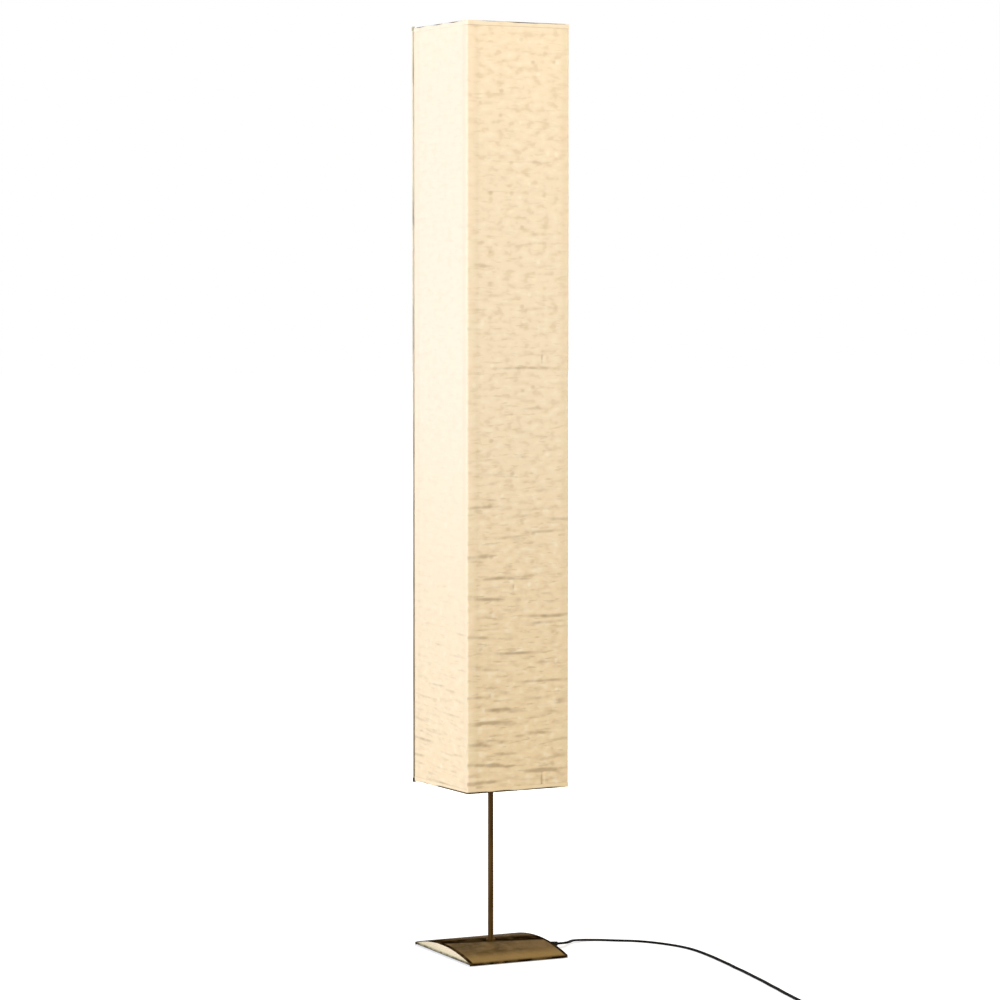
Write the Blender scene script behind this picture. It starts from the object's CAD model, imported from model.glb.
import math

import bmesh
import bpy
import numpy as np
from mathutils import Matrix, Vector


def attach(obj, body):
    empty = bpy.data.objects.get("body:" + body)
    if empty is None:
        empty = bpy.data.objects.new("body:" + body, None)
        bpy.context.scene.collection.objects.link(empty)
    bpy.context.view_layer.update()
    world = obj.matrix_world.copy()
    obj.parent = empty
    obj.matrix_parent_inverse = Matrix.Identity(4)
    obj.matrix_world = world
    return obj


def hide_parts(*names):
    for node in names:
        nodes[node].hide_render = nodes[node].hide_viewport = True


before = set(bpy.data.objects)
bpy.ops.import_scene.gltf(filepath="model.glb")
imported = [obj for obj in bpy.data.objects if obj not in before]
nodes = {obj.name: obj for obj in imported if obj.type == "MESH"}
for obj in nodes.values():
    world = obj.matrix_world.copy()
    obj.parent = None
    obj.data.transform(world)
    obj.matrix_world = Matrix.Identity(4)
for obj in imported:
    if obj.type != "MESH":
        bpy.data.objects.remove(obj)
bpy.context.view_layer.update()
mm = 0.001


# -------------------------------- the camera
# The photograph was taken from the lamp's left front, a little above the middle of
# the shade, from about five metres away with a long lens. The angles are in degrees.

camera_at = (-2.2017, -4.617, 0.9574)
camera_heading = 25.65
camera_down = 3.22
camera_lens = 125.5

camera_data = bpy.data.cameras.new("camera")
camera_data.sensor_width = 36
camera_data.lens = camera_lens
camera_data.clip_start = 0.05
camera_data.clip_end = 100
camera = bpy.data.objects.new("camera", camera_data)
camera.location = camera_at
camera.rotation_euler = (math.radians(90 - camera_down), 0, math.radians(-camera_heading))
bpy.context.scene.collection.objects.link(camera)
bpy.context.scene.camera = camera


# -------------------------------- the mains lead
# A flat black twin lead in a smooth plastic sheath, 5.4 by 3.2 mm. It runs from the
# bush along the floor to the foot switch, and the rest is wound in a neat coil.

lead_width, lead_thick = 5.4, 3.2
bush_end = (100, -20, 7.5)
# The floor run and the tail repeat the points of the CAD part's own routes.
floor_run = [
    bush_end, (108, -20, 7.4), (117, -17, 7), (125, -10.5, 6.4),
    (132, -2, 5.6), (140, 6, 4.6), (150, 11.5, 3.4), (162, 13.5, 2.4), (175, 11, 1.8),
    (188, 4.5, 1.7), (199, -3.5, 1.7), (211, -12, 1.7), (226, -22, 1.7),
    (239, -35, 1.7), (250, -51, 1.7), (260, -70, 1.7), (268, -91, 1.7),
    (273, -115, 1.7), (274, -140, 1.7), (273, -166, 1.7), (271, -192, 1.7),
    (268, -219, 1.7), (265, -246, 1.7), (261, -273, 1.7), (258, -300, 1.7),
    (254, -327, 1.7), (250, -354, 1.7), (246, -381, 1.7), (241, -408, 1.7),
    (237, -434, 1.7), (232, -460, 1.7), (228, -486, 1.7), (224, -512, 1.7),
    (221, -538, 1.7), (220, -564, 1.7), (220, -590, 1.7), (219, -612, 1.7),
    (214, -632, 1.7), (202, -646, 1.7), (187, -652, 2.4), (172, -650.5, 4.8),
    (160.2, -645.6, 6),
]
run_turn = math.radians(155)
run = np.array([math.cos(run_turn), math.sin(run_turn)])
switch_at = np.array([114.0, -624.0])
switch_half, link_length, coil_straight = 51, 60, 6
lead_in_switch = 6  # height of the lead's middle there
coil_touch = switch_at + (switch_half + link_length) * run
coil_inner, coil_pitch, coil_layer, coil_climb = 23.5, 4.7, 2.25, 0.5
coil_outer = coil_inner + coil_pitch * coil_layer
coil_low, coil_high = 4.0, 10.0
coil_at = coil_touch + coil_outer * np.array([math.sin(run_turn), -math.cos(run_turn)])
tail_run = [
    (-3, -570.5, 9.6, 90), (-14, -568, 8, 80), (-25, -567.5, 5.8, 62), (-36, -569.5, 3.8, 40),
    (-46, -573.5, 2.9, 20), (-54, -578.5, 3.6, 6), (-61, -584, 5.6, 0), (-67, -589, 6.8, 0),
]


def eased(s):
    return s * s * (3 - 2 * s)


def smooth_line(points, steps):
    """A line through the points that bends evenly, with so many steps to a stretch."""
    p = np.array(points, float)
    p = np.vstack([2 * p[0] - p[1], p, 2 * p[-1] - p[-2]])
    made = []
    for a, b, c, d in zip(p, p[1:], p[2:], p[3:]):
        for s in np.arange(steps) / steps:
            made.append(0.5 * (2 * b + (c - a) * s + (2 * a - 5 * b + 4 * c - d) * s ** 2
                               + (3 * b - a - 3 * c + d) * s ** 3))
    return np.array(made + [p[-2]])


def coil_line(steps_a_turn):
    """The coil's turns: they spiral in, climb half a turn and spiral out again."""
    made = []
    turns = 2 * coil_layer + coil_climb
    for k in range(int(steps_a_turn * turns) + 1):
        t = k / steps_a_turn
        radius = coil_inner
        if t < coil_layer:
            radius = coil_outer - coil_pitch * t
        elif t > coil_layer + coil_climb:
            radius = coil_inner + coil_pitch * (t - coil_layer - coil_climb)
        climbed = eased(min(1, max(0, (t - coil_layer) / coil_climb)))
        turn = run_turn + math.pi / 2 - 2 * math.pi * t
        made.append((coil_at[0] + radius * math.cos(turn), coil_at[1] + radius * math.sin(turn),
                     coil_low + (coil_high - coil_low) * climbed, 90))
    return made


def lead_line():
    """Points of the whole lead, each with its twist in degrees."""
    flat = [(*p, 0) for p in smooth_line(floor_run, steps=5)]
    switch_out = switch_at + switch_half * run
    link = [(*(switch_out + s * (link_length - coil_straight) * run),
             lead_in_switch + s * (coil_low - lead_in_switch), 90 * eased(s))
            for s in np.linspace(0, 1, 9)]
    into_coil = (*(coil_touch - coil_straight * run), coil_low, 90)
    out_of_coil = (*(coil_touch + coil_straight * run), coil_high, 90)
    tail = [tuple(p) for p in smooth_line([out_of_coil, *tail_run], steps=4)]
    return np.array(flat + link + [into_coil] + coil_line(steps_a_turn=40) + tail)


def sweep(name, line, outline, least_step=0.4):
    """A closed tube of the outline along a line of x, y, z and twist, all in millimetres,
    and the line without the points that lie too close to the one before."""
    keep = [0]
    for i in range(1, len(line)):
        if np.linalg.norm(line[i, :3] - line[keep[-1], :3]) > least_step:
            keep.append(i)
    line = line[keep]
    verts, faces, n, m = [], [], len(line), len(outline)
    for i in range(n):
        along = Vector(line[min(i + 1, n - 1), :3] - line[max(i - 1, 0), :3]).normalized()
        side = along.cross(Vector((0, 0, 1))).normalized()
        up = side.cross(along)
        c, s = math.cos(math.radians(line[i, 3])), math.sin(math.radians(line[i, 3]))
        for x, y in outline:
            verts.append((Vector(line[i, :3]) + (x * c - y * s) * side + (x * s + y * c) * up) * mm)
    for i in range(n - 1):
        for k in range(m):
            j = (k + 1) % m
            faces.append((i * m + k, (i + 1) * m + k, (i + 1) * m + j, i * m + j))
    faces += [tuple(range(m)), tuple(reversed(range((n - 1) * m, n * m)))]
    return solid_piece(name, verts, faces), line


def solid_piece(name, verts, faces):
    """A mesh object from points and faces, with its faces turned outwards."""
    mesh = bpy.data.meshes.new(name)
    mesh.from_pydata([tuple(v) for v in verts], [], faces)
    mesh.validate()
    work = bmesh.new()
    work.from_mesh(mesh)
    bmesh.ops.recalc_face_normals(work, faces=work.faces)
    work.to_mesh(mesh)
    work.free()
    mesh.polygons.foreach_set("use_smooth", [True] * len(mesh.polygons))
    piece = bpy.data.objects.new(name, mesh)
    bpy.context.scene.collection.objects.link(piece)
    return piece


def signed_power(value, exponent):
    """value to the power of exponent, with its own sign."""
    return math.copysign(abs(value) ** exponent, value)


def twin_outline(points=20, waist=0.10, waist_wide=0.13):
    """The lead's outline: a flat oval with a faint waist between its two cores."""
    made = []
    for k in range(points):
        a = 2 * math.pi * k / points
        x = lead_width / 2 * signed_power(math.cos(a), 0.8)
        y = lead_thick / 2 * signed_power(math.sin(a), 0.6)
        made.append((x, y * (1 - waist * math.exp(-(x / (waist_wide * lead_width)) ** 2))))
    return made


class Nodes:
    """A tree of shader nodes, built up step by step."""

    def __init__(self, tree):
        self.tree = tree

    def node(self, kind, values=None, **settings):
        """A new node, with the values of its inputs and its other settings."""
        made = self.tree.nodes.new(kind)
        for key, value in settings.items():
            setattr(made, key, value)
        for key, value in (values or {}).items():
            made.inputs[key].default_value = value
        return made

    def join(self, source, target):
        self.tree.links.new(source, target)

    def ramp(self, value, low, high, bottom=0.0, top=1.0):
        """value from low to high becomes bottom to top."""
        ends = {"From Min": low, "From Max": high, "To Min": bottom, "To Max": top}
        made = self.node("ShaderNodeMapRange", ends, interpolation_type="SMOOTHSTEP")
        self.join(value, made.inputs["Value"])
        return made.outputs["Result"]

    def maths(self, operation, *values):
        made = self.node("ShaderNodeMath", operation=operation)
        for socket, value in zip(made.inputs, values):
            if isinstance(value, (int, float)):
                socket.default_value = value
            else:
                self.join(value, socket)
        return made.outputs[0]


class Finish(Nodes):
    """A node material on one Principled shader."""

    def __init__(self, name, colour, roughness, metallic=0.0, gloss=0.5):
        self.material = bpy.data.materials.new(name)
        self.material.use_nodes = True
        super().__init__(self.material.node_tree)
        self.shader = self.tree.nodes["Principled BSDF"]
        self.place = self.node("ShaderNodeTexCoord").outputs["Object"]
        self.colour = colour
        self.set(Base_Color=(*colour, 1), Roughness=roughness, Metallic=metallic,
                 Specular_IOR_Level=gloss)

    def axes(self):
        """The three parts of the texture's coordinates, by their letters."""
        split = self.node("ShaderNodeSeparateXYZ")
        self.join(self.place, split.inputs[0])
        return split.outputs

    def stretched(self, scale, shift=(0, 0, 0)):
        """The object's own coordinates, scaled by axis."""
        made = self.node("ShaderNodeMapping", {"Scale": scale, "Location": shift})
        self.join(self.place, made.inputs["Vector"])
        return made.outputs["Vector"]

    def noise(self, scale, detail=3.0, stretch=None, roughness=0.55, distortion=0.0):
        made = self.node("ShaderNodeTexNoise", {"Scale": scale, "Detail": detail,
                                                "Roughness": roughness, "Distortion": distortion})
        self.join(self.stretched(stretch) if stretch else self.place, made.inputs["Vector"])
        return made.outputs["Fac"]

    def dots(self, scale, size, share, stretch=(1, 1, 1), shift=(0, 0, 0)):
        """Soft round dots, in the cells whose own chance number is above share."""
        made = self.node("ShaderNodeTexVoronoi", {"Scale": scale})
        self.join(self.stretched(stretch, shift), made.inputs["Vector"])
        chance = self.node("ShaderNodeSeparateColor")
        self.join(made.outputs["Color"], chance.inputs[0])
        return self.maths("MULTIPLY", self.ramp(made.outputs["Distance"], size, 0.25 * size),
                          self.ramp(chance.outputs[0], share, share + 0.08))

    def blend(self, amount, first, second):
        """Two colours, or sockets of colours, mixed by the amount from a socket."""
        made = self.node("ShaderNodeMix", data_type="RGBA", clamp_result=False)
        self.join(amount, made.inputs[0])
        for socket, value in ((made.inputs[6], first), (made.inputs[7], second)):
            if isinstance(value, tuple):
                socket.default_value = (*value, 1)
            else:
                self.join(value, socket)
        return made.outputs[2]

    def paint(self, socket):
        self.join(socket, self.shader.inputs["Base Color"])

    def rough(self, socket):
        self.join(socket, self.shader.inputs["Roughness"])

    def bump(self, height, depth, strength=1.0):
        made = self.node("ShaderNodeBump", {"Strength": strength, "Distance": depth})
        self.join(height, made.inputs["Height"])
        self.join(made.outputs["Normal"], self.shader.inputs["Normal"])

    def grained(self, scale, detail, depth, strength=1.0):
        """A fine even relief."""
        self.bump(self.noise(scale, detail), depth, strength)

    def mottled(self, scale, second):
        """The base colour drifts towards a second one in soft patches."""
        self.paint(self.blend(self.ramp(self.noise(scale, 4), 0.4, 0.65), self.colour, second))

    def handled(self, scale, detail, low, high, stretch=None):
        """The roughness drifts between a low and a high value."""
        self.rough(self.ramp(self.noise(scale, detail, stretch), 0.3, 0.7, low, high))

    def set(self, **values):
        """Values for the shader's inputs, with _ for each space in their names."""
        for key, value in values.items():
            self.shader.inputs[key.replace("_", " ")].default_value = value


def dress(finish, *names):
    """Gives CAD nodes a finish."""
    for name in names:
        for place in nodes[name].material_slots:
            place.material = finish.material


def plain_finish(name, colour, roughness, drift, wear=None, grain=None, **more):
    """A finish whose colour and roughness drift a little, with a fine even relief."""
    made = Finish(name, colour, roughness, **more)
    made.mottled(*drift)
    if wear:
        made.handled(*wear)
    if grain:
        made.grained(*grain)
    return made


black_sheath = plain_finish("black_sheath", (0.003, 0.003, 0.003), 0.6,
                            (160, (0.012, 0.012, 0.011)), wear=(420, 3, 0.42, 0.6),
                            grain=(900, 2, 0.00008, 0.5), gloss=0.01)
lead, lead_points = sweep("mains_lead", lead_line(), twin_outline())
lead.data.materials.append(black_sheath.material)
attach(lead, "stand")
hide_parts("cord_lead", "cord_link", "cord_coil", "cord_tail")
dress(black_sheath, "cord_lead", "cord_link", "cord_coil", "cord_tail")


# -------------------------------- the ties round the coil
# Two soft black bands with a felted face hold the turns together. Each goes once
# round the bundle of turns.

tie_width, tie_thick, tie_gap = 7.0, 1.0, 0.3
tie_square = 0.34  # 1 is a round loop, and 0 a rectangle
tie_wander = 0.12


def tie_band(angle, steps=56):
    """Loop of band round the bundle on one side of the coil, which the angle gives."""
    reach_in = coil_inner - lead_thick / 2 - tie_gap - tie_thick
    reach_out = coil_outer + lead_thick / 2 + tie_gap + tie_thick
    top = coil_high + lead_width / 2 + tie_gap + tie_thick
    middle, half = ((reach_in + reach_out) / 2, top / 2), ((reach_out - reach_in) / 2, top / 2)
    across = [(-0.5, 0), (-0.42, 0.5), (0.42, 0.5), (0.5, 0), (0.42, -0.5), (-0.42, -0.5)]
    verts, faces = [], []
    for k in range(steps):
        a = 2 * math.pi * k / steps
        bend = (signed_power(math.cos(a), tie_square), signed_power(math.sin(a), tie_square))
        lap = tie_wander * math.sin(5 * a)
        for w, d in across:
            r = middle[0] + bend[0] * (half[0] - tie_thick / 2 + d * tie_thick)
            z = middle[1] + bend[1] * (half[1] - tie_thick / 2 + d * tie_thick)
            s = w * tie_width + lap
            x = coil_at[0] + r * math.cos(angle) - s * math.sin(angle)
            y = coil_at[1] + r * math.sin(angle) + s * math.cos(angle)
            verts.append((x * mm, y * mm, z * mm))
    m = len(across)
    for k in range(steps):
        j = (k + 1) % steps
        for i in range(m):
            n = (i + 1) % m
            faces.append((k * m + i, k * m + n, j * m + n, j * m + i))
    return verts, faces


def one_piece(name, parts):
    """One mesh object of several parts, each with its points and faces."""
    all_verts, all_faces = [], []
    for verts, faces in parts:
        all_faces += [tuple(i + len(all_verts) for i in f) for f in faces]
        all_verts += verts
    return solid_piece(name, all_verts, all_faces)


lead_ties = one_piece("lead_ties", [tie_band(run_turn), tie_band(run_turn + math.pi)])
felted_band = plain_finish("felted_band", (0.030, 0.030, 0.032), 0.9,
                           (700, (0.055, 0.055, 0.058)), grain=(2600, 4, 0.0003))
felted_band.set(Sheen_Weight=0.35, Sheen_Roughness=0.5)
lead_ties.data.materials.append(felted_band.material)
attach(lead_ties, "stand")
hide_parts("cord_ties")
dress(felted_band, "cord_ties")


# -------------------------------- the studio
# A pale floor and a white surround, a large soft lamp from the left, a weaker and
# warmer one from high up in front, and a faint one from the right.

floor_mesh = bpy.data.meshes.new("floor")
floor_mesh.from_pydata([(-30, -12, 0), (30, -12, 0), (30, 40, 0), (-30, 40, 0)], [], [(0, 1, 2, 3)])
floor = bpy.data.objects.new("floor", floor_mesh)
bpy.context.scene.collection.objects.link(floor)


def seen_directly(made):
    """1 for rays from the camera, from a gloss or through glass, else 0."""
    rays = made.node("ShaderNodeLightPath").outputs
    other = made.maths("MAXIMUM", rays["Is Glossy Ray"], rays["Is Transmission Ray"])
    return made.maths("MAXIMUM", rays["Is Camera Ray"], other)


floor_material = bpy.data.materials.new("pale_floor")
floor_material.use_nodes = True
ground = Nodes(floor_material.node_tree)
ground.tree.nodes.remove(ground.tree.nodes["Principled BSDF"])
lit = ground.node("ShaderNodeBsdfDiffuse", {"Color": (0.80, 0.80, 0.80, 1)})
white = ground.node("ShaderNodeEmission", {"Color": (1, 1, 1, 1)})
# the floor is plain white further out, and near the lamp it also shows the shadow
distance = ground.node("ShaderNodeVectorMath", operation="LENGTH")
ground.join(ground.node("ShaderNodeTexCoord").outputs["Object"], distance.inputs[0])
whiter = ground.ramp(distance.outputs["Value"], 0.3, 1.6, 0.5, 1.0)
ground.join(ground.maths("MULTIPLY", seen_directly(ground), whiter), white.inputs["Strength"])
both = ground.node("ShaderNodeAddShader")
ground.join(lit.outputs[0], both.inputs[0])
ground.join(white.outputs[0], both.inputs[1])
ground.join(both.outputs[0], ground.tree.nodes["Material Output"].inputs["Surface"])
floor_mesh.materials.append(floor_material)

world = bpy.data.worlds.new("surround")
bpy.context.scene.world = world
world.use_nodes = True
surround = Nodes(world.node_tree)
soft = surround.tree.nodes["Background"]
soft.inputs["Color"].default_value = (1.0, 0.985, 0.96, 1)
soft.inputs["Strength"].default_value = 0.40
bright = surround.node("ShaderNodeBackground", {"Color": (1, 1, 1, 1), "Strength": 1.0})
mix = surround.node("ShaderNodeMixShader")
surround.join(seen_directly(surround), mix.inputs[0])
surround.join(soft.outputs[0], mix.inputs[1])
surround.join(bright.outputs[0], mix.inputs[2])
surround.join(mix.outputs[0], surround.tree.nodes["World Output"].inputs["Surface"])
bpy.context.scene.view_settings.view_transform = "Standard"


def softbox(name, place, aim, width, height, power, colour):
    data = bpy.data.lights.new(name, "AREA")
    data.shape = "RECTANGLE"
    data.size, data.size_y = width, height
    data.energy = power
    data.color = colour
    made = bpy.data.objects.new(name, data)
    made.location = place
    made.rotation_euler = (Vector(aim) - Vector(place)).to_track_quat("-Z", "Y").to_euler()
    bpy.context.scene.collection.objects.link(made)


softbox("left_lamp", (-3.8, -0.7, 1.25), (0, 0, 0.75), 1.6, 2.2, 154, (0.79, 0.84, 1.0))
softbox("front_lamp", (0.9, -2.5, 2.8), (0, 0, 1.05), 1.4, 1.0, 68, (1.0, 0.92, 0.755))
softbox("right_lamp", (3.4, 1.2, 2.0), (0, 0, 0.8), 1.2, 1.6, 30, (1.0, 0.98, 0.95))


# -------------------------------- the foot switch
# A long two-part case of grained black plastic with a round button for the foot, soft
# reliefs at both ends and a grey contact block inside.

moulded_black = plain_finish("moulded_black", (0.010, 0.010, 0.010), 0.55,
                             (60, (0.024, 0.024, 0.024)), wear=(300, 3, 0.42, 0.62),
                             grain=(2400, 2, 0.00012), gloss=0.10)
dress(moulded_black, "switch_base", "switch_cover")

soft_relief = plain_finish("soft_relief", (0.009, 0.009, 0.008), 0.62,
                           (120, (0.014, 0.013, 0.012)), grain=(1500, 3, 0.0001), gloss=0.04)
dress(soft_relief, "switch_reliefs", "cord_bush")

button_plastic = plain_finish("button_plastic", (0.028, 0.028, 0.030), 0.3,
                              (90, (0.036, 0.036, 0.037)), grain=(800, 2, 0.00006))
button_plastic.rough(button_plastic.ramp(button_plastic.noise(500, 4), 0.35, 0.7, 0.24, 0.5))
dress(button_plastic, "switch_button")

grey_moulding = plain_finish("grey_moulding", (0.42, 0.42, 0.40), 0.55,
                             (200, (0.36, 0.36, 0.35)), grain=(1800, 2, 0.00008))
dress(grey_moulding, "switch_block")


# -------------------------------- the plug
# A flat moulded plug with two round nickel plated pins, and a tapered tail that takes
# up the lead.

dress(moulded_black, "plug_body")
plated_pins = plain_finish("plated_pins", (0.72, 0.71, 0.69), 0.22, (220, (0.60, 0.58, 0.55)),
                           wear=(700, 4, 0.15, 0.34, (1, 1, 6)), grain=(1500, 2, 0.00003),
                           metallic=1.0)
dress(plated_pins, "plug_pins")


# -------------------------------- the base's underside
# A black painted steel plate weighs the base down. It is held by four zinc plated
# countersunk screws and stands on four felt pads.

painted_plate = plain_finish("painted_plate", (0.035, 0.035, 0.036), 0.5,
                             (35, (0.06, 0.058, 0.055)), wear=(150, 4, 0.4, 0.65),
                             grain=(1200, 3, 0.00008))
dress(painted_plate, "base_plate")

zinc_plate = plain_finish("zinc_plate", (0.60, 0.60, 0.58), 0.34, (260, (0.48, 0.47, 0.43)),
                          wear=(600, 3, 0.26, 0.5), grain=(1600, 2, 0.00004), metallic=1.0)
dress(zinc_plate, "base_screws", "grub_screws")

felt = plain_finish("felt", (0.045, 0.043, 0.040), 0.95, (500, (0.075, 0.072, 0.068)),
                    grain=(2200, 5, 0.0004))
felt.set(Sheen_Weight=0.4, Sheen_Roughness=0.6)

pad_x, pad_y, pad_radius, pad_thick = 64, 83.3, 7, 1
pad_ragged, pad_inset = 0.12, 0.15  # how far the rim wanders, and from how far inside


def felt_pad(x, y, seed, n=36):
    """Punched disc with a soft, slightly ragged rim of n points."""
    wobble = np.random.RandomState(seed).uniform(-pad_ragged, pad_ragged, n)
    profile = [(0.0, 0.0), (0.6, 0.0), (0.93, 0.0), (0.99, 0.22), (1.0, 0.55),
               (0.97, 0.86), (0.93, 1.0), (0.6, 1.0), (0.0, 1.0)]
    verts, faces = [], []
    for share, z in profile:
        for k in range(n):
            a = 2 * math.pi * k / n
            r = share * (pad_radius - pad_inset + wobble[k])
            verts.append(((x + r * math.cos(a)) * mm, (y + r * math.sin(a)) * mm, z * pad_thick * mm))
    for i in range(len(profile) - 1):
        for k in range(n):
            j = (k + 1) % n
            faces.append((i * n + k, i * n + j, (i + 1) * n + j, (i + 1) * n + k))
    return verts, faces


pad_places = [(x, y) for x in (pad_x, -pad_x) for y in (pad_y, -pad_y)]
felt_pads = one_piece("felt_pads", [felt_pad(x, y, seed) for seed, (x, y) in enumerate(pad_places)])
felt_pads.data.materials.append(felt.material)
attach(felt_pads, "stand")
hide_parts("base_pads")
dress(felt, "base_pads")


# -------------------------------- the base's core
# A block of pale wood, arched on top. Only its two ends show, with fine end grain and
# a few darker pores.


def pale_wood_finish():
    made = Finish("pale_wood", (0.80, 0.68, 0.47), 0.7, gloss=0.15)
    fineness = {"Scale": 150, "Distortion": 5, "Detail": 3, "Detail Scale": 1.5}
    rings = made.node("ShaderNodeTexWave", fineness, wave_type="BANDS", bands_direction="Z")
    made.join(made.stretched((1, 0.35, 1)), rings.inputs["Vector"])
    grain = made.ramp(rings.outputs["Fac"], 0.2, 0.95)
    pores = made.ramp(made.noise(900, 2, (1, 0.5, 1)), 0.62, 0.74)
    tone = made.blend(grain, (0.80, 0.69, 0.49), (0.64, 0.52, 0.33))
    tone = made.blend(made.maths("MULTIPLY", pores, 0.6), tone, (0.45, 0.33, 0.19))
    # the lower edge is grubby and olive, and the far half a little darker
    axes = made.axes()
    tone = made.blend(made.ramp(axes["Y"], -0.02, 0.07, 0.0, 0.28), tone, (0.50, 0.39, 0.23))
    tone = made.blend(made.ramp(axes["Z"], 0.012, 0.005, 0.0, 0.5), tone, (0.53, 0.50, 0.29))
    soiled = made.maths("MULTIPLY", made.ramp(axes["Z"], 0.0070, 0.0042),
                        made.ramp(made.noise(70, 2), 0.35, 0.6, 0.6, 1.0))
    made.paint(made.blend(soiled, tone, (0.075, 0.055, 0.022)))
    made.bump(made.noise(700, 3, (0.3, 1, 1)), 0.0002)
    return made


dress(pale_wood_finish(), "base_core")


# -------------------------------- the base's cover
# A bent sheet with a thin brown bronze lacquer over the arch. The lacquer is a little
# cloudy, lighter where it is rubbed towards the front edge, and dark at the cut edges.


def bronze_lacquer_finish():
    made = Finish("bronze_lacquer", (0.11, 0.065, 0.02), 0.62, gloss=0.01)
    cloud = made.ramp(made.noise(24, 5, None, 0.6, 0.6), 0.36, 0.66)
    tone = made.blend(cloud, (0.088, 0.054, 0.016), (0.172, 0.107, 0.042))
    blot = made.ramp(made.noise(80, 4), 0.50, 0.68)
    tone = made.blend(made.maths("MULTIPLY", blot, 0.45), tone, (0.185, 0.120, 0.058))
    axes = made.axes()
    rubbed = made.ramp(axes["Y"], -0.086, -0.058, 1.0, 0.0)
    tone = made.blend(made.maths("MULTIPLY", rubbed, 0.85), tone, (0.285, 0.180, 0.062))
    # the lacquer has gathered along the crest, a little aslant, and thins out behind it
    aslant = made.maths("MULTIPLY_ADD", axes["X"], 0.18, axes["Y"])
    behind = made.maths("MAXIMUM", made.ramp(aslant, 0.004, 0.040, 1.0, 0.35),
                        made.ramp(axes["X"], -0.060, -0.015, 0.85, 0.0))
    crest = made.maths("MULTIPLY", made.ramp(aslant, -0.020, -0.006), behind)
    side = made.ramp(made.maths("ABSOLUTE", axes["X"]), 0.0728, 0.0756)
    rim = made.ramp(axes["Z"], 0.0035, 0.0066, 1.0, 0.0)
    gathered = made.maths("MAXIMUM", made.maths("MAXIMUM", crest, side), rim)
    worn = made.ramp(made.noise(40, 3), 0.36, 0.56, 0.62, 1.0)
    tone = made.blend(made.maths("MULTIPLY", gathered, worn), tone, (0.010, 0.004, 0.0008))
    made.paint(tone)
    # and where it has gathered it is quite matt
    made.join(made.ramp(gathered, 0.2, 0.8, 0.01, 0.0), made.shader.inputs["Specular IOR Level"])
    made.handled(130, 4, 0.46, 0.68)
    made.grained(420, 4, 0.00012)
    return made


dress(bronze_lacquer_finish(), "base_cover")


# -------------------------------- the pole
# Three lengths of thin steel tube in antique bronze lacquer, joined inside the shade
# by brass sleeves. It stands in a turned brass socket, with a small collar on the base.


def antique_bronze_finish(name, dark, light, rough=0.55, gloss=0.03):
    made = Finish(name, dark, rough, gloss=gloss)
    streak = made.ramp(made.noise(240, 4, (1, 1, 0.06)), 0.34, 0.68)
    patch = made.ramp(made.noise(28, 3), 0.4, 0.7)
    tone = made.blend(streak, dark, light)
    made.paint(made.blend(made.maths("MULTIPLY", patch, 0.35), tone, tuple(0.6 * v for v in dark)))
    made.handled(300, 3, rough - 0.08, rough + 0.12, (1, 1, 0.1))
    made.bump(made.noise(1100, 3, (1, 1, 0.1)), 0.00005)
    return made


antique_bronze = antique_bronze_finish("antique_bronze", (0.052, 0.025, 0.004), (0.112, 0.060, 0.014))
dress(antique_bronze, "pole_lower", "pole_middle", "pole_upper", "pole_collar")
turned_brass = antique_bronze_finish("turned_brass", (0.36, 0.25, 0.10), (0.52, 0.38, 0.17), 0.32, 0.5)
turned_brass.set(Metallic=0.9)
dress(turned_brass, "pole_sleeves", "pole_socket", "pole_tip")
dress(black_sheath, "inner_lead")


# -------------------------------- the lower carrier
# A turned hub clamped on the pole with four wires and milky soft caps on their ends.
# It keeps the bottom of the shade centred and doesn't touch it.

frame_wire = antique_bronze_finish("frame_wire", (0.050, 0.032, 0.012), (0.095, 0.064, 0.027))
dress(frame_wire, "guide_hub", "guide_wires")
milky_cap = plain_finish("milky_cap", (0.78, 0.76, 0.68), 0.4, (300, (0.70, 0.67, 0.58)),
                         grain=(1200, 2, 0.00005))
milky_cap.set(Subsurface_Weight=0.2, Subsurface_Scale=0.002)
dress(milky_cap, "guide_tips")


# -------------------------------- the lampholders
# Two bent tubes carry ivory plastic holders with grip rings. Inside each a white
# ceramic insert holds a threaded brass liner and a springy contact.

ivory_plastic = plain_finish("ivory_plastic", (0.80, 0.76, 0.64), 0.34, (45, (0.74, 0.69, 0.55)),
                             wear=(260, 3, 0.28, 0.48), grain=(900, 2, 0.00005))
white_ceramic = plain_finish("white_ceramic", (0.80, 0.79, 0.75), 0.5, (150, (0.72, 0.70, 0.65)),
                             grain=(1400, 3, 0.0001))
bare_brass = plain_finish("bare_brass", (0.68, 0.48, 0.18), 0.28, (180, (0.52, 0.34, 0.12)),
                          wear=(500, 3, 0.2, 0.45), grain=(1500, 2, 0.00004), metallic=1.0)
for end in ("_lower", "_upper"):
    dress(frame_wire, "holder_arm" + end)
    dress(ivory_plastic, "holder_cup" + end, "holder_sleeve" + end)
    dress(white_ceramic, "holder_insert" + end)
    dress(bare_brass, "holder_liner" + end, "holder_tongue" + end)


# -------------------------------- the bulbs
# Small globe bulbs, unlit: an opal diffuser on a nickel plated screw cap with a rolled
# thread and a contact tip.

nickel_cap = plain_finish("nickel_cap", (0.66, 0.65, 0.61), 0.3, (240, (0.52, 0.50, 0.45)),
                          wear=(600, 3, 0.22, 0.42), grain=(1300, 2, 0.00004), metallic=1.0)
dress(nickel_cap, "bulb_cap_lower", "bulb_cap_upper")
opal = plain_finish("opal", (0.76, 0.74, 0.68), 0.24, (18, (0.70, 0.68, 0.61)),
                    wear=(120, 2, 0.2, 0.32), gloss=0.3)
opal.set(Subsurface_Weight=0.25, Subsurface_Scale=0.006)
dress(opal, "bulb_globe_lower", "bulb_globe_upper")


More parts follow.
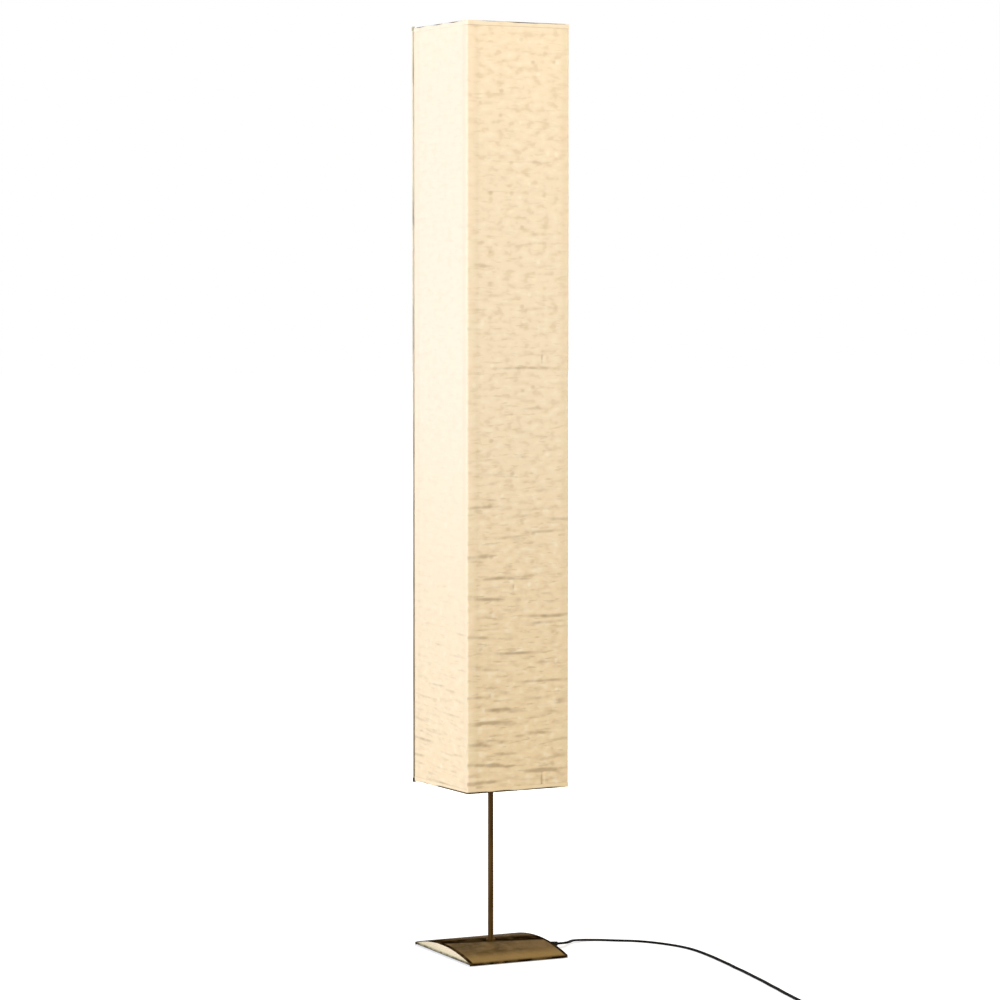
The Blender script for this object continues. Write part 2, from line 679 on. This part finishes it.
# -------------------------------- the shade's frame
# Two square rings of bronze lacquered wire, three wires in the corners, and a hub with
# four wires that hangs on the pole's tip.

dress(frame_wire, "shade_ring_lower", "shade_ring_upper")
dress(frame_wire, "shade_corner_wires", "shade_hub", "shade_wires")


# -------------------------------- the seam wire
# A dark wire stands outside in the fourth corner, where the sheet's two edges meet. Its
# lacquer is worn paler towards the top, and small caps close its ends.


def seam_finish():
    made = Finish("seam_bronze", (0.30, 0.25, 0.15), 0.6, gloss=0.2)
    worn = made.ramp(made.axes()["Z"], 0.22, 1.25)
    tone = made.blend(worn, (0.27, 0.22, 0.125), (0.68, 0.60, 0.43))
    streak = made.ramp(made.noise(160, 4, (1, 1, 0.12)), 0.42, 0.66)
    made.paint(made.blend(made.maths("MULTIPLY", streak, 0.45), tone, (0.12, 0.095, 0.045)))
    made.grained(900, 3, 0.00006)
    return made


def cap_finish():
    made = Finish("black_cap", (0.006, 0.006, 0.005), 0.6, gloss=0.15)
    black = made.blend(made.ramp(made.noise(300), 0.4, 0.65), made.colour, (0.014, 0.013, 0.012))
    # the upper cap has lost its black
    made.paint(made.blend(made.ramp(made.axes()["Z"], 0.5, 1.0), black, (0.42, 0.36, 0.24)))
    made.grained(1500, 2, 0.00006)
    return made


dress(seam_finish(), "shade_seam_wire")
dress(cap_finish(), "shade_seam_caps")


# -------------------------------- the shade's paper
# One sheet of cream crinkled paper goes round all four sides and is folded at the
# corners. It is creased across, mostly near the bottom, and doubled beside its folds.

shade_turn = math.radians(3)
paper_half, paper_inside = 84.35, 83.85  # from the pole's axis to the sheet's two surfaces
fold_radius = 2.8
paper_low, paper_high = 252.6, 1359.6
flat_to_seam = 80.0  # from a face's middle to where its edge turns in behind the seam wire
# The sheet's two edges are tucked in there: how far each point of the left face's edge
# is from the corner, across the face and in from its plane, and the way it faces.
tucked_edge = [((3.1, 2.9), (0.0, 1.0)), ((3.35, 1.4), (-0.35, 0.94)), ((3.65, 0.35), (-0.85, 0.53))]
face_columns, fold_columns = 24, 4
paper_rows, rows_a_step = 741, 13  # the inner surface has one row for so many outer ones
crinkle_seed, bold_seed = 41, 12
left, front = 0, 1  # the numbers of the two faces that the photograph shows
# Where the middles of a face's bold creases lie by turns, across from its first fold.
bold_middles = (16, 118, 30, 68)
# One long crease crosses the front face: across from the left fold, height, half length.
long_across, long_height, long_reach = 95, 865, 65
# Upright pinches of the front face: across, height, half height and depth.
front_pinches = [(123.5, 262, 11, 1.1), (123.5, 880, 6, 0.8), (76, 547, 5, 0.7)]
pinch_wide = 1.7
crease_sag = 0.0012  # of the left face's creases, by their length squared
# A crease is a valley with a lip on each side, so many half widths away from it.
valley_deep, lip_high, lip_away = 0.30, 0.15, 1.7
furthest_out = 0.38
no_crease = 0.4  # what the marks' first channel holds where there is none


def round_the_shade():
    """Places once round the sheet, from the seam over the left face: x, y, out-x, out-y,
    distance along, face number and distance from that face's first fold."""
    made, flat = [], paper_half - fold_radius
    for (away, deep), way in tucked_edge:
        made.append((-paper_half + deep, paper_half - away, *way, 0, left, 0.0))
    corners = [(-1, 1), (-1, -1), (1, -1), (1, 1)]
    for face in range(4):
        a, b = corners[face], corners[(face + 1) % 4]
        step = ((b[0] - a[0]) / 2, (b[1] - a[1]) / 2)
        out = (step[1], -step[0])
        start = -flat_to_seam if face == left else -flat
        end = flat_to_seam if face == 3 else flat
        across = list(np.linspace(start, end, face_columns + 1))
        if face == front:
            # closer columns at the pinches, two of which share one place across
            across = [t for t in across if min(abs(t + paper_half - p[0]) for p in front_pinches) > 4]
            across += [p[0] - paper_half + d for p in front_pinches[1:] for d in (-4, -2, 0, 2, 4)]
        for t in sorted(across):
            made.append((t * step[0] + paper_half * out[0], t * step[1] + paper_half * out[1],
                         *out, 0, face, t + paper_half))
        if face == 3:
            break
        centre = (flat * (step[0] + out[0]), flat * (step[1] + out[1]))
        for k in range(1, fold_columns):
            a = math.pi / 2 * k / fold_columns
            way = (math.cos(a) * out[0] + math.sin(a) * step[0],
                   math.cos(a) * out[1] + math.sin(a) * step[1])
            owner = (face, 2 * paper_half) if k < fold_columns / 2 else (face + 1, 0.0)
            made.append((centre[0] + fold_radius * way[0], centre[1] + fold_radius * way[1],
                         *way, 0, *owner))
    # the other edge is the first one's mirror image in the corner's diagonal
    for x, y, out_x, out_y, *_ in reversed(made[:len(tucked_edge)]):
        made.append((-y, -x, -out_y, -out_x, 0, 3, 2 * paper_half))
    made = np.array(made)
    made[1:, 4] = np.cumsum(np.hypot(*np.diff(made[:, :2], axis=0).T))
    return made


def soft_noise(random, rows, columns, row_size, column_size):
    """Noise with blobs of about so many rows and columns, mostly from -1 to 1."""
    field = np.fft.rfft2(random.standard_normal((rows, columns)))
    fy = np.fft.fftfreq(rows)[:, None] * row_size
    fx = np.fft.rfftfreq(columns)[None, :] * column_size
    field = np.fft.irfft2(field * np.exp(-3.0 * (fx ** 2 + fy ** 2)), (rows, columns))
    return field / (2.2 * field.std())


def bold_creases(face):
    """The creases that the eye finds first. They lie in rows, wider apart with height."""
    random = np.random.RandomState(bold_seed + face)
    lowest, highest = (13, 430) if face == front else (38, 150)
    made, height, row = [], paper_low + lowest, 0
    while height < paper_low + highest:
        across = bold_middles[row % len(bold_middles)] + random.uniform(-9, 9)
        slope = random.normal(-0.01, 0.05) if face == front else random.uniform(-0.1, 0.02)
        deep = random.uniform(0.75, 1.05) if face == front else random.uniform(0.4, 0.75)
        made.append((across, height, random.uniform(26, 48), slope, deep))
        height += 9 + 0.07 * (height - paper_low) + random.uniform(0, 4)
        row += 1
    if face == front:
        made.append((long_across, long_height, long_reach, 0, 0.85))
    return made


def loose_creases(face, random):
    """Creases by chance: short dents everywhere, and longer ones near the bottom."""
    made = []
    for count, crowding, long, deep in ((340, 1.2, (7, 16), (0.2, 0.55)),
                                        (190, 1.7, (12, 40), (0.3, 0.75))):
        for _ in range(count):
            up = random.uniform() ** crowding
            low = 1 - up
            slope = random.normal(0, 0.035) - (0.06 * low if face == left else 0)
            depth = random.uniform(*deep) * (0.45 + 0.65 * low ** 1.5)
            if face == left:
                depth *= 0.2 + 0.42 * low ** 2
            elif face == front:
                depth *= 0.85
            made.append((random.uniform(0, 2 * paper_half), paper_low + (paper_high - paper_low) * up,
                         random.uniform(*long), slope, depth))
    return made


def crinkled(places, heights):
    """How far the sheet stands out, and how dark its creases are, by row and column."""
    random = np.random.RandomState(crinkle_seed)
    rows, columns = len(heights), len(places)
    even = np.linspace(0, places[-1, 4], 400)
    out = np.zeros((rows, columns))
    for size, deep in (((6, 6), 0.06), ((4, 3), 0.04), ((80, 60), 0.08)):
        wide = soft_noise(random, rows, len(even), *size)
        out += deep * np.array([np.interp(places[:, 4], even, row) for row in wide])
    dark = np.zeros((rows, columns))
    pitch = heights[1] - heights[0]
    for face in range(4):
        mine = np.flatnonzero(places[:, 5] == face)
        s = places[mine, 6]
        lines = loose_creases(face, random) + (bold_creases(face) if face in (left, front) else [])
        for a, z, long, slope, deep in lines:
            wide = random.uniform(1.8, 2.6) if face == left else random.uniform(2.2, 3.4)
            near = np.abs(s - a) < long
            if not near.any():
                continue
            across = s[near] - a
            sag = crease_sag if face == left else random.normal(0, 0.0005)
            line = z + slope * across + sag * across ** 2
            shape = (1 - (across / long) ** 2) * (0.8 + 0.2 * np.sin(0.3 * across + z))
            first = max(0, int((line.min() - 4 * wide - heights[0]) / pitch))
            last = min(rows, int((line.max() + 4 * wide - heights[0]) / pitch) + 1)
            if first >= last:
                continue
            t = (heights[first:last, None] - line[None, :]) / wide
            valley = np.exp(-t ** 2)
            lips = np.exp(-(np.abs(t) - lip_away) ** 2)
            grid = np.ix_(range(first, last), mine[near])
            out[grid] += deep * shape * (lip_high * lips - valley_deep * valley)
            dark[grid] += deep * shape * (valley - 0.22 * lips)
    mine = np.flatnonzero(places[:, 5] == front)
    for a, z, tall, deep in front_pinches:
        t = ((places[mine, 6] - a) / pinch_wide)[None, :]
        fade = np.exp(-((heights - z) / tall) ** 2)[:, None]
        valley, lip = np.exp(-t ** 2), np.exp(-(t - 2.2) ** 2)
        grid = np.ix_(range(rows), mine)
        out[grid] += deep * fade * (0.25 * lip - valley_deep * valley)
        dark[grid] += deep * fade * (valley - 0.6 * lip)
    return np.clip(out, -furthest_out, furthest_out), np.clip(dark, -0.4, 1.3)


def doubled_bands(places, first=16.0, last=11.0):
    """Where the sheet is doubled beside a face's first and last folds, and the fine line
    where that ends."""
    s, last = places[:, 6], 2 * paper_half - last
    doubled = ((s < first) | (s > last)).astype(float)
    line = np.maximum(np.exp(-((s - first) / 3) ** 2), np.exp(-((s - last) / 3) ** 2))
    return doubled, line


def wrapped_sheet(name, places, outer, inner, outer_z, inner_z, marks):
    """Closed thin shell: outer and inner surfaces share their columns, and the inner one
    may have fewer rows. outer and inner are how far each stands out, by row and column."""
    cos, sin = math.cos(shade_turn), math.sin(shade_turn)

    def grid(stand, z):
        x = places[None, :, 0] + places[None, :, 2] * stand
        y = places[None, :, 1] + places[None, :, 3] * stand
        z = np.broadcast_to(z, x.shape)
        return np.stack([cos * x - sin * y, sin * x + cos * y, z], -1).reshape(-1, 3) * mm

    rows, columns = outer.shape
    few = inner.shape[0]
    verts = np.vstack([grid(outer, outer_z), grid(inner, inner_z)])

    def quads(start, rows, steps):
        r, c = np.meshgrid(np.arange(rows - 1), np.arange(columns - 1), indexing="ij")
        return np.stack([(start + r * columns + c).ravel() + step for step in steps], -1)

    outside = quads(0, rows, (0, 1, columns + 1, columns))
    inside = quads(rows * columns, few, (0, columns, columns + 1, 1))
    k = np.arange(columns - 1)
    top, inner_top = (rows - 1) * columns + k, (rows + few - 1) * columns + k
    low, inner_low = k, rows * columns + k
    rims = np.vstack([np.stack([low, inner_low, inner_low + 1, low + 1], -1),
                      np.stack([top, top + 1, inner_top + 1, inner_top], -1)])
    faces = [tuple(f) for f in np.vstack([outside, inside, rims])]
    ratio = (rows - 1) // (few - 1)
    for column, flip in ((0, False), (columns - 1, True)):
        for i in range(few - 1):
            edge = [(i * ratio + j) * columns + column for j in range(ratio + 1)]
            edge += [(rows + i + 1) * columns + column, (rows + i) * columns + column]
            faces.append(tuple(reversed(edge)) if flip else tuple(edge))
    made = solid_piece(name, verts, faces)
    # the sheet's own flat coordinates, for the textures: their rows fall away on the left
    # face's lower part, as its creases do
    across = np.where(places[:, 5] == left, places[:, 6], 0)[None, :]
    fall = 0.07 * np.clip((540 - outer_z) / 160, 0, 1) * across
    outer_count = rows * columns
    flat = np.zeros((len(verts), 3), np.float32)
    flat[:outer_count, 0] = np.tile(places[:, 4], rows) * mm
    flat[:outer_count, 1] = (outer_z + fall).ravel() * mm
    flat[outer_count:, 0] = np.tile(places[:, 4], few) * mm
    flat[outer_count:, 1] = np.broadcast_to(inner_z, inner.shape).ravel() * mm
    cut = made.data.attributes.new("cut", "FLOAT_VECTOR", "POINT")
    cut.data.foreach_set("vector", flat.ravel())
    # and the marks of its outer surface
    data = np.tile(np.array((no_crease, 0, 0, 0.5), np.float32), (len(verts), 1))
    data[:outer_count] = marks.reshape(-1, 4)
    layer = made.data.attributes.new("marks", "FLOAT_COLOR", "POINT")
    layer.data.foreach_set("color", data.ravel())
    return made


def paper_finish(name, pale=1.0):
    """Crinkled paper, whose colours a second kind can have paler."""
    made = Finish(name, (0.92, 0.79, 0.59), 0.88, gloss=0.2)
    marks = made.node("ShaderNodeAttribute", attribute_name="marks")
    split = made.node("ShaderNodeSeparateColor")
    made.join(marks.outputs["Color"], split.inputs[0])
    # creases are stored up to 1, the darkest, and their lit lips below no_crease
    crease = made.ramp(split.outputs[0], no_crease, 1.0)
    lip = made.ramp(split.outputs[0], no_crease, 0.2)
    doubled, line, pebbled = split.outputs[1], split.outputs[2], marks.outputs["Alpha"]
    made.place = made.node("ShaderNodeAttribute", attribute_name="cut").outputs["Vector"]
    height = made.axes()["Y"]

    def shade(tone, amount, strength, colour):
        by = made.maths("MULTIPLY", made.maths("MULTIPLY", amount, pebbled), strength)
        return made.blend(by, tone, tuple(v * pale for v in colour))

    # the sheet is paler above and a little browner towards the bottom
    tone = made.blend(made.ramp(height, 0.20, 0.95), tuple(v * pale for v in (0.88, 0.72, 0.465)),
                      tuple(min(0.95, v * pale) for v in (0.925, 0.80, 0.61)))
    # pebbled surface: soft pale bumps between darker dents
    pebble = made.noise(66, 1.2, (1, 1.55, 1), 0.45)
    tone = shade(tone, made.ramp(pebble, 0.52, 0.72), 0.50, (0.97, 0.89, 0.70))
    tone = shade(tone, made.ramp(pebble, 0.50, 0.27), 0.45, (0.72, 0.58, 0.385))
    dents = made.dots(58, 0.32, 0.78, (1, 1.2, 1))
    tone = shade(tone, dents, 0.42, (0.60, 0.46, 0.285))
    flecks = made.dots(60, 0.33, 0.84, (1.1, 1, 1), (0.37, 0.11, 0))
    tone = shade(tone, flecks, 0.65, (1.0, 0.93, 0.76))
    # short dashes across, stronger near the bottom
    dash = made.noise(36, 2.6, (1, 5.2, 1), 0.55)
    lower = made.ramp(height, 0.3, 1.15, 1.0, 0.4)
    dashes = made.maths("MULTIPLY", made.ramp(dash, 0.56, 0.70), lower)
    tone = shade(tone, dashes, 0.60, (0.62, 0.48, 0.29))
    pale_dashes = made.maths("MULTIPLY", made.ramp(dash, 0.44, 0.30), lower)
    tone = shade(tone, pale_dashes, 0.35, (0.97, 0.88, 0.68))
    tone = made.blend(made.maths("MULTIPLY", crease, 0.64), tone, (0.41, 0.30, 0.175))
    tone = made.blend(made.maths("MULTIPLY", lip, 0.35), tone, (1.0, 0.92, 0.73))
    # beside the folds the doubled paper is smoother, with an olive or rosy tinge
    tinge = made.blend(made.ramp(made.noise(26, 2, (1, 0.8, 1)), 0.42, 0.58), (0.88, 0.80, 0.55),
                       (0.96, 0.765, 0.56))
    tone = made.blend(made.maths("MULTIPLY", doubled, 0.26), tone, tinge)
    tone = made.blend(made.maths("MULTIPLY", line, 0.10), tone, (0.50, 0.40, 0.20))
    made.paint(tone)
    relief = made.maths("MULTIPLY", pebble, 1.4)
    for part, high in ((dash, -0.9), (dents, -0.35), (made.noise(1300, 3, (1, 1.4, 1)), 0.10)):
        relief = made.maths("ADD", relief, made.maths("MULTIPLY", part, high))
    made.bump(relief, 0.0012, 0.6)
    # light also comes through the thin sheet
    through = made.node("ShaderNodeBsdfTranslucent")
    made.join(tone, through.inputs["Color"])
    both = made.node("ShaderNodeMixShader", {0: 0.22})
    made.join(made.shader.outputs[0], both.inputs[1])
    made.join(through.outputs[0], both.inputs[2])
    made.join(both.outputs[0], made.tree.nodes["Material Output"].inputs["Surface"])
    return made


crinkled_paper = paper_finish("crinkled_paper")
places = round_the_shade()
heights = np.linspace(paper_low, paper_high, paper_rows + 1)
stand, dark = crinkled(places, heights)
doubled, line = doubled_bands(places)
stand *= 1 - 0.2 * doubled[None, :]
# the pebbling is faint on the left face, a little less so near the bottom
low_down = np.clip((560 - heights) / 200, 0, 1)[:, None]
pebbled = np.where(places[:, 5] == left, 0.22 + 0.30 * low_down, 1.0) * (1 - 0.3 * doubled[None, :])
creases = no_crease + np.where(dark > 0, 0.6, 0.5) * np.clip(dark, -0.4, 1)
marks = np.stack(np.broadcast_arrays(creases, doubled, line, pebbled), -1)
inner_heights = heights[::rows_a_step]
inner_stand = np.full((len(inner_heights), len(places)), paper_inside - paper_half)
paper = wrapped_sheet("shade_sheet", places, stand, inner_stand, heights[:, None],
                      inner_heights[:, None], marks)
paper.data.materials.append(crinkled_paper.material)
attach(paper, "shade")
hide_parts("shade_paper")
dress(crinkled_paper, "shade_paper")


# -------------------------------- the hems
# The sheet's top and bottom edges are turned over the ring wires and glued down, which
# leaves a slightly paler band. Its edge wanders, so the wire shows in dashes.

hem_height, hem_rows = 7.0, 7
hem_out, hem_inside, hem_furthest = 0.42, -0.10, 0.62


def hem_band(name, edge_z, inward, bare, seed):
    """One band; edge_z is its outer edge, inward is 1 for the bottom and -1 for the top,
    and bare is how much of the wire it leaves uncovered, at the least and at the most."""
    random = np.random.RandomState(seed)
    columns = len(places)
    even = np.linspace(0, places[-1, 4], 300)
    wander = np.interp(places[:, 4], even, soft_noise(random, 8, 300, 1, 13)[3])
    ragged = np.interp(places[:, 4], even, soft_noise(random, 8, 300, 1, 18)[3])
    levels = np.linspace(0, 1, hem_rows)[:, None]
    shown = bare[0] + (bare[1] - bare[0]) * np.clip(0.5 + 1.1 * wander, 0, 1)
    start = edge_z + inward * shown[None, :]
    end = edge_z + inward * (hem_height + 0.5 * ragged)[None, :]
    z = start + (end - start) * levels
    bulge = hem_out * (0.72 + 0.28 * np.sin(np.pi * levels))
    bulge = np.minimum(bulge + 0.05 * soft_noise(random, hem_rows, columns, 2, 2), hem_furthest)
    inner = np.full((hem_rows, columns), hem_inside)
    edge = 0.35 * np.exp(-((levels - 1) / 0.13) ** 2) * np.ones((1, columns))
    if inward < 0:
        z, bulge, inner, edge = z[::-1], bulge[::-1], inner[::-1], edge[::-1]
    flat = np.zeros_like(edge)
    marks = np.stack([no_crease + 0.6 * edge, flat, flat, flat + 0.4], -1)
    return wrapped_sheet(name, places, bulge, inner, z, z, marks)


hem_paper = paper_finish("hem_paper", 1.035)
hem_bottom = hem_band("hem_bottom", 250.0, 1, (0.4, 2.6), 5)
hem_top = hem_band("hem_top", 1362.0, -1, (0.1, 1.3), 9)
for hem in (hem_bottom, hem_top):
    hem.data.materials.append(hem_paper.material)
    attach(hem, "shade")
    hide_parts("shade_hems")
dress(hem_paper, "shade_hems")
